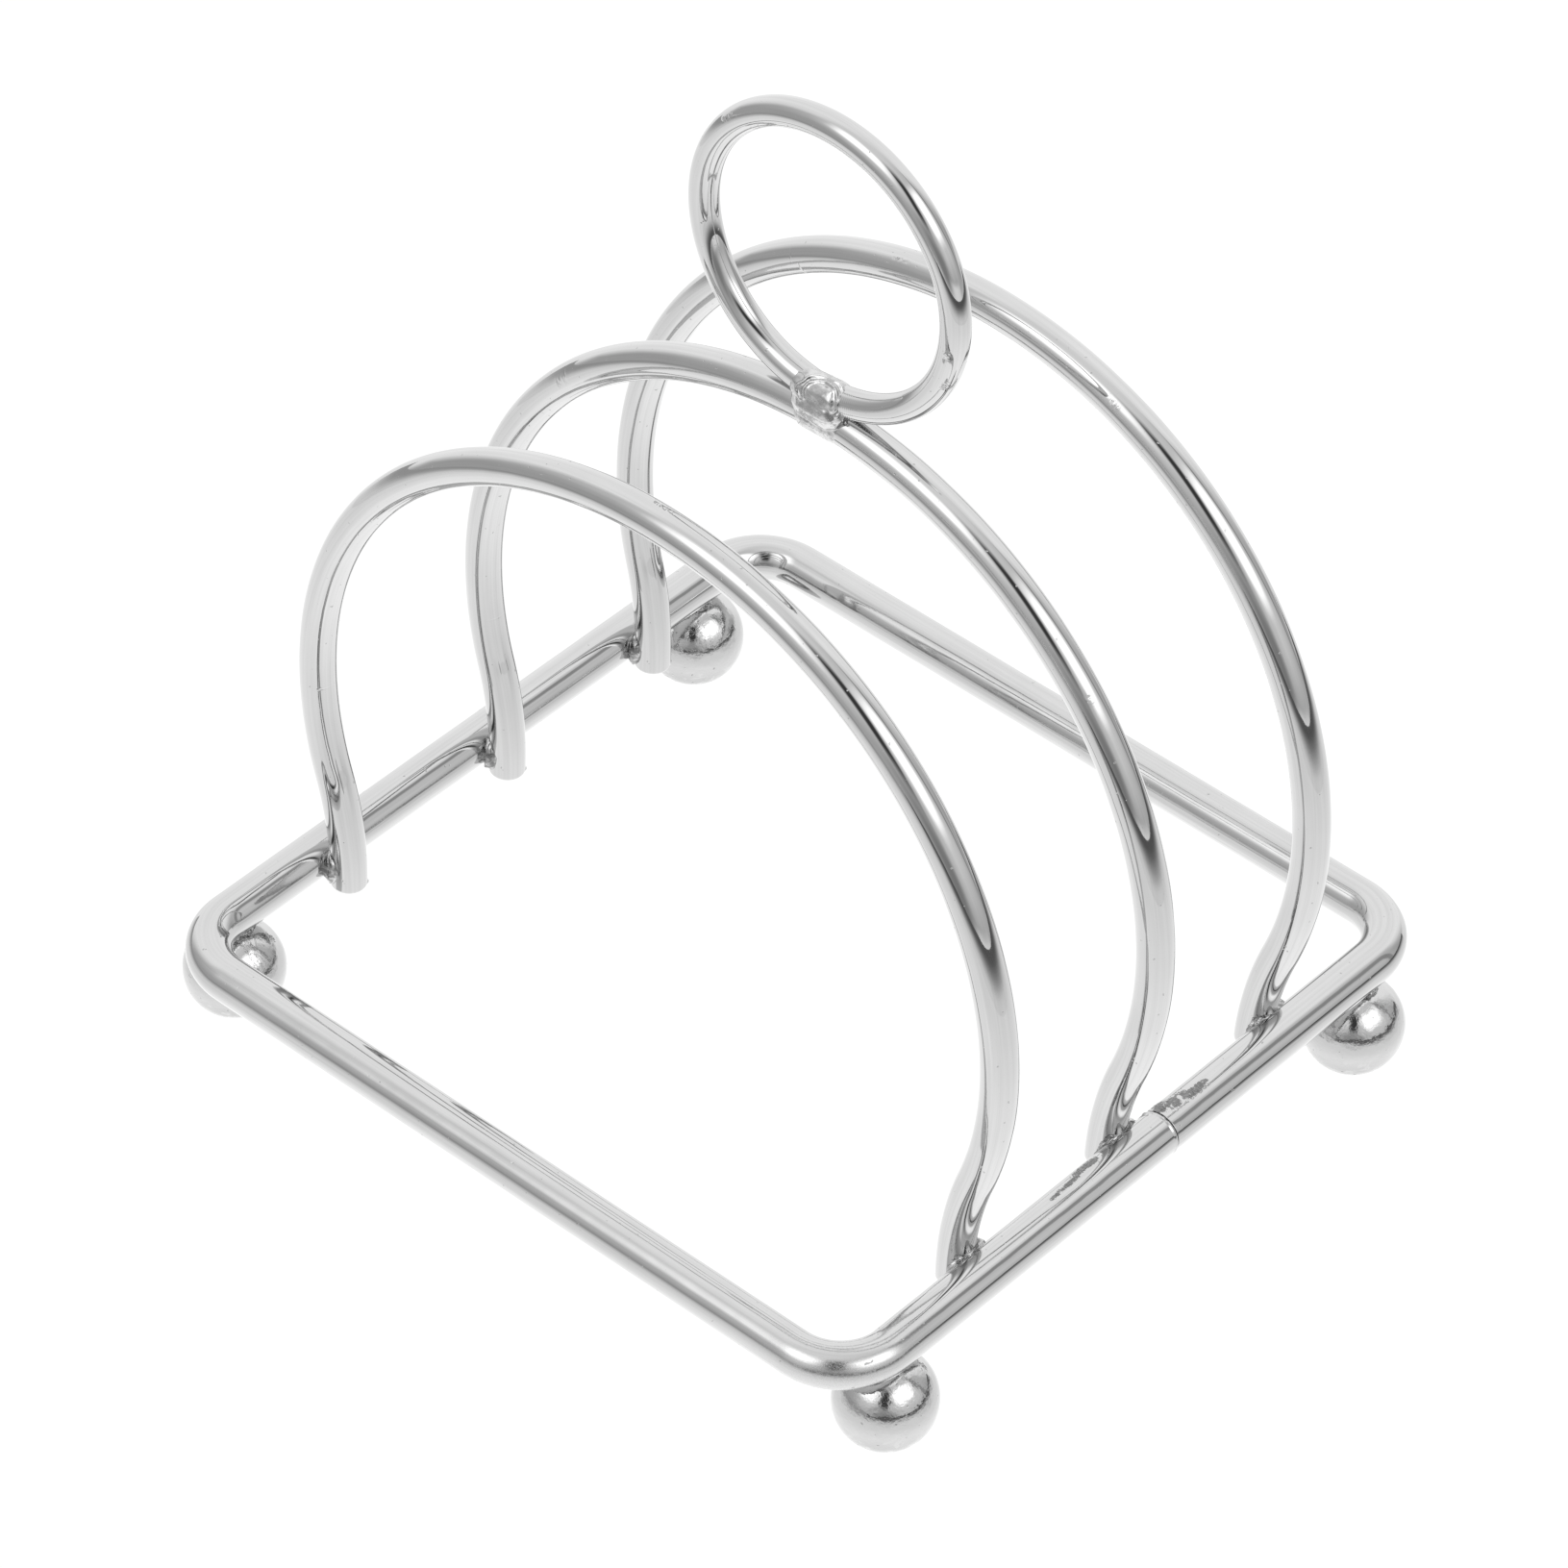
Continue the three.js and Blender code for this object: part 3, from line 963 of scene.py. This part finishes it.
RING_SCUFFS = [(23.2, 0.7, 14, 16, 0.6), (19.4, 0.8, 41, 18, 0.5), (64.1, 1.2, 32, 12, 0.5)]
THREAD_FROM, THREAD_TO = 1.6 * MM, 5.6 * MM  # fine rings that the clamp left beside the weld
THREAD_PITCH = 0.26 * MM
THREAD_DEPTH = 0.006 * MM


def build_ring(material):
    """The ring's wire, whose two ends nearly meet inside its weld."""
    half_gap = RING_END_GAP / 2 / RING_RADIUS
    route = Route(Arc((0, 0), RING_RADIUS, half_gap - math.pi / 2, 1.5 * math.pi - half_gap))
    scuffed = marked(RING_SCUFFS)

    def shape(distance, angle, straight):
        extra, wear = scuffed(distance, angle, straight)
        threaded = blob(distance, (THREAD_FROM + THREAD_TO) / 2, (THREAD_TO - THREAD_FROM) / 2)
        extra += THREAD_DEPTH * threaded * math.sin(2 * math.pi * distance / THREAD_PITCH + angle)
        return extra, wear

    fine = [(THREAD_FROM, THREAD_TO, FINEST_STEP)] + fine_round(RING_SCUFFS)
    place = Matrix.Translation(RING_CENTRE) @ UPRIGHT
    builder = sweep(route, RING_WIRE_RADIUS, place, WIRE_SIDES, shape, fine)
    add_piece("finger_ring", builder, material, "ring_handle")


# The body of the ring's bead, as runs of balls in mm: the places of a run's first and last ball
# from the seat under the ring, and their radii. One run lies along the ring, one in front of the
# joint, one along the arch and one behind.
BEAD_BODY = [
    ((-1.5, -0.3, 1.5), (1.9, -0.3, 1.7), 2.0, 2.1),
    ((-1.0, -0.6, 0.4), (1.8, -0.7, 0.5), 2.05, 2.15),
    ((-0.9, -0.35, -1.5), (2.6, -0.2, -1.6), 1.9, 1.85),
    ((-0.5, 0.5, 0.4), (1.2, 0.5, 0.4), 1.9, 1.9),
]
BALLS_IN_RUN = 9
BEAD_MIDDLE = (0.6, -0.3, 1.6)
BEAD_FACING = (14, 30)  # the way the bead's face looks: azimuth and elevation in degrees
BEAD_RIMS = [(60, 0.18), (46, 0.13)]  # angle from the way it faces, and thickness in mm
RIM_STEPS = 120
RIM_START, RIM_SPAN = -30, 240  # in degrees, from the right of the bead's face upwards
RIM_WAVES = 2  # how fast the rims wander along their length
RIM_WANDER = 5  # degrees nearer to or farther from the way it faces
RIM_UNEVENNESS = 0.4
BEAD_SEED = 9


def skin_point(balls, inside, towards):
    """Where a ray from inside the balls leaves the last of them."""
    reach = 0.0
    for centre, radius in balls:
        along = (centre - inside).dot(towards)
        aside = (centre - inside).length_squared - along ** 2
        if aside < radius ** 2:
            reach = max(reach, along + math.sqrt(radius ** 2 - aside))
    return inside + towards * reach


def bead_rims(body, middle):
    """Small balls in rows on the skin of the body, round the way that its face looks."""
    facing, sideways, upward = axes_round(*BEAD_FACING)
    rims = []
    for tilt, thickness in BEAD_RIMS:
        for step in range(RIM_STEPS):
            angle = math.radians(RIM_START + RIM_SPAN * step / RIM_STEPS)
            out = sideways * math.cos(angle) + upward * math.sin(angle)
            wander = noise.noise(Vector((RIM_WAVES * angle, tilt, 0)))
            lean = math.radians(tilt + RIM_WANDER * wander)
            spot = skin_point(body, middle, facing * math.cos(lean) + out * math.sin(lean))
            rims.append((spot, thickness * (1 + RIM_UNEVENNESS * wander) * MM))
    return rims


def build_ring_weld(material):
    """The bead that closes the ring and holds it on top of the middle arch: a smooth drop, its
    face ringed by raised rims over its top."""
    seat = Vector((RING_CENTRE.x, RING_CENTRE.y, RING_CENTRE.z - RING_RADIUS - RING_WIRE_RADIUS))
    body = []
    for first, last, first_radius, last_radius in BEAD_BODY:
        for ball in range(BALLS_IN_RUN):
            share = ball / (BALLS_IN_RUN - 1)
            radius = first_radius + (last_radius - first_radius) * share
            body.append((seat + Vector(first).lerp(Vector(last), share) * MM, radius * MM))
    rims = bead_rims(body, seat + Vector(BEAD_MIDDLE) * MM)
    skin(
        "ring_weld", body + rims, material, "handle_weld",
        grain=2.6 * MM, depth=0.03 * MM, seed=BEAD_SEED, voxel=0.09, smoothing=16,
    )


# ---- The studio ----

TABLE_WHITE = 1.05
TABLE_RADIUS = 20.0
TABLE_SUNK = 0.02 * MM  # keeps the table just clear of the flats under the balls
BACKDROP_RADIUS = 1.5 * TABLE_RADIUS
EDGE_RADIUS = 0.38  # the far side of the table, which shows as a thin dark line in the chrome
EDGE_BOTTOM, EDGE_TOP = -0.08, 0.028
EDGE_SHADE_FROM, EDGE_SHADE_TO = -0.069, 0.014
EDGE_WHITE = 0.95
EDGE_STEPS = 96
# First and last azimuth of its two stretches, and how bright their top is. Behind the rack, to
# the left, the table sweeps up into a white wall without an edge.
EDGES = {"front_left": (-100, 10, 0.45), "right": (10, 162, 0.13)}


def finish_glow(graph, strength):
    """Ends a graph in a white glow."""
    shader = graph.node("ShaderNodeEmission")
    graph.put(shader.inputs["Strength"], strength)
    graph.end("ShaderNodeOutputMaterial", shader)


def glowing(name, strength):
    material, graph = new_material(name)
    finish_glow(graph, strength)
    return material


def stage_mesh(name, build, material):
    """A part of the studio. The camera and the chrome see it, but it casts no shadow."""
    made = mesh_object(name, build, material)
    made.visible_diffuse = False
    made.visible_shadow = False
    return made


def build_table():
    """The white table in the picture. The chrome mirrors the one in the world instead."""
    def build(work):
        bmesh.ops.create_circle(work, cap_ends=True, radius=TABLE_RADIUS, segments=128)
        bmesh.ops.translate(work, verts=work.verts, vec=(0, 0, -TABLE_SUNK))

    stage_mesh("table", build, glowing("white_table", TABLE_WHITE)).visible_glossy = False


def build_backdrop():
    """The white beyond the table, which only the camera sees."""
    def build(work):
        bmesh.ops.create_uvsphere(work, u_segments=48, v_segments=24, radius=BACKDROP_RADIUS)

    stage_mesh("backdrop", build, glowing("white_backdrop", TABLE_WHITE)).visible_glossy = False


def build_table_edge(name, start, end, top_white):
    """Where the white of the table falls into shade, down to a dark gap below the walls. Only
    the chrome sees it."""
    material, graph = new_material(f"table_edge_{name}")
    height = graph.dot(graph.node("ShaderNodeTexCoord").outputs["Object"], (0, 0, 1))
    finish_glow(graph, graph.ease(height, EDGE_SHADE_FROM, EDGE_SHADE_TO, EDGE_WHITE, top_white))

    def build(work):
        columns = []
        for step in range(EDGE_STEPS + 1):
            out = direction(start + (end - start) * step / EDGE_STEPS, 0) * EDGE_RADIUS
            columns.append([work.verts.new(out + Vector((0, 0, z))) for z in (EDGE_BOTTOM, EDGE_TOP)])
        for (low, high), (next_low, next_high) in zip(columns, columns[1:]):
            work.faces.new((low, next_low, next_high, high))

    stage_mesh(f"table_edge_{name}", build, material).visible_camera = False


# What stands in the room, each in front of those above it: azimuth, elevation, half width and
# half height in degrees, softness of the edge, and brightness.
PATCHES = [
    (220, 34, 54, 50, 0.25, 1.25),  # the white wall and ceiling behind, to the left
    (126, 16, 23, 30, 0.4, 0.58),  # the grey wall behind, to the right
    (97, 29, 35, 24, 0.7, 0.95),  # the glow round the key light
    (-31, -8, 55, 7, 0.2, 0.53),  # the far side of the table at the front left, in shade
    (39, 0, 19, 13, 0.7, 0.31),  # the dark room behind the camera
    (-7, 58, 23, 42, 0.7, 1.07),  # the glow above the fill light
    (-12.5, 46, 16, 15, 0.6, 2.2),  # the fill light
    (91.5, 41, 20, 15, 0.55, 2.4),  # the key light
    (137, 25, 3.5, 33, 0.4, 0.4),  # a light stand
    (37.5, 42, 9, 21, 0.55, 0.06),  # the camera and its stand
]
TABLE_NEAR, TABLE_FAR = 1.39, 1.06  # the lit table, straight below the rack and far from it
WALL, CEILING = 0.53, 0.82
# Where the light changes with height, as the sine of the elevation.
TABLE_FADED, TABLE_ENDS, CEILING_FULL = -0.35, -0.1, 0.8


def build_world():
    """What the chrome reflects: the lit table below, fading towards its far side, grey walls,
    a pale ceiling, and the soft lights."""
    world = bpy.data.worlds.new("studio")
    bpy.context.scene.world = world
    world.use_nodes = True
    world.node_tree.nodes.clear()
    graph = Graph(world.node_tree)
    ray = graph.node("ShaderNodeTexCoord").outputs["Generated"]
    height = graph.dot(ray, (0, 0, 1))
    light = graph.add(
        graph.ease(height, -1.0, TABLE_FADED, start=TABLE_NEAR, end=TABLE_FAR),
        graph.ease(height, TABLE_ENDS, 0.0, end=WALL - TABLE_FAR),
        graph.ease(height, 0.0, CEILING_FULL, end=CEILING - WALL),
    )
    for azimuth, elevation, half_width, half_height, softness, brightness in PATCHES:
        facing, sideways, upward = axes_round(azimuth, elevation)
        share = 1.0
        for axis, half in ((sideways, half_width), (upward, half_height)):
            ahead = graph.dot(ray, facing)
            angle = graph.math("ABSOLUTE", graph.math("ARCTAN2", graph.dot(ray, axis), ahead))
            edge = math.radians(half)
            inside, outside = edge * (1 - softness), edge * (1 + softness)
            fall = graph.ease(angle, inside, outside, start=1.0, end=0.0)
            share = graph.times(share, fall)
        light = graph.add(light, graph.times(share, graph.math("SUBTRACT", brightness, light)))
    shader = graph.node("ShaderNodeBackground")
    graph.put(shader.inputs["Color"], graph.grey(light))
    graph.end("ShaderNodeOutputWorld", shader)


# The camera that the photo's outline was fitted with, in degrees, metres and mm of lens.
CAMERA_AZIMUTH = 39.604
CAMERA_ELEVATION = 42.097
CAMERA_ROLL = 2.614
CAMERA_DISTANCE = 0.8511
CAMERA_TARGET = Vector((-0.00171, -0.00155, 0.03584))
CAMERA_LENS = 188.45


def build_camera():
    """Looks at the rack as the photo does."""
    data = bpy.data.cameras.new("camera")
    data.sensor_width = 36.0
    data.lens = CAMERA_LENS
    data.clip_start = 0.01
    data.clip_end = 100.0
    back, right, upward = axes_round(CAMERA_AZIMUTH, CAMERA_ELEVATION)
    axes = Matrix((right, upward, back)).transposed()
    roll = Matrix.Rotation(math.radians(CAMERA_ROLL), 3, "Z")
    camera = bpy.data.objects.new("camera", data)
    place = Matrix.Translation(CAMERA_TARGET + back * CAMERA_DISTANCE)
    camera.matrix_world = place @ (axes @ roll).to_4x4()
    bpy.context.scene.collection.objects.link(camera)
    bpy.context.scene.camera = camera


# ---- Everything together ----

def build_rack():
    """Its four finishes, and then every piece."""
    wire = chrome_wire("wire_chrome")
    ball = chrome_ball("ball_chrome")
    flash = weld_metal("flash_chrome", 0.010 * MM, dullest=0.18, brightest=CHROME_GREY)
    # The bead's grey reaches above the wire's at its brightest. This is painted light, which lightens the
    # bead's face where it mirrors the shaded far side of the table.
    bead = weld_metal("bead_chrome", 0.004 * MM, dullest=0.46, brightest=0.62)
    build_frame(wire)
    build_joint(flash)
    for seed, corner in enumerate(CORNERS, FOOT_SEED):
        build_foot(corner, ball, flash, seed)
    for name, arch in ARCHES.items():
        build_arch(name, arch, wire, flash)
    build_ring(wire)
    build_ring_weld(bead)


build_camera()
build_rack()
build_table()
for edge_name, edge in EDGES.items():
    build_table_edge(edge_name, *edge)
build_backdrop()
build_world()
bpy.context.scene.view_settings.view_transform = "Standard"

bpy.context.view_layer.update()
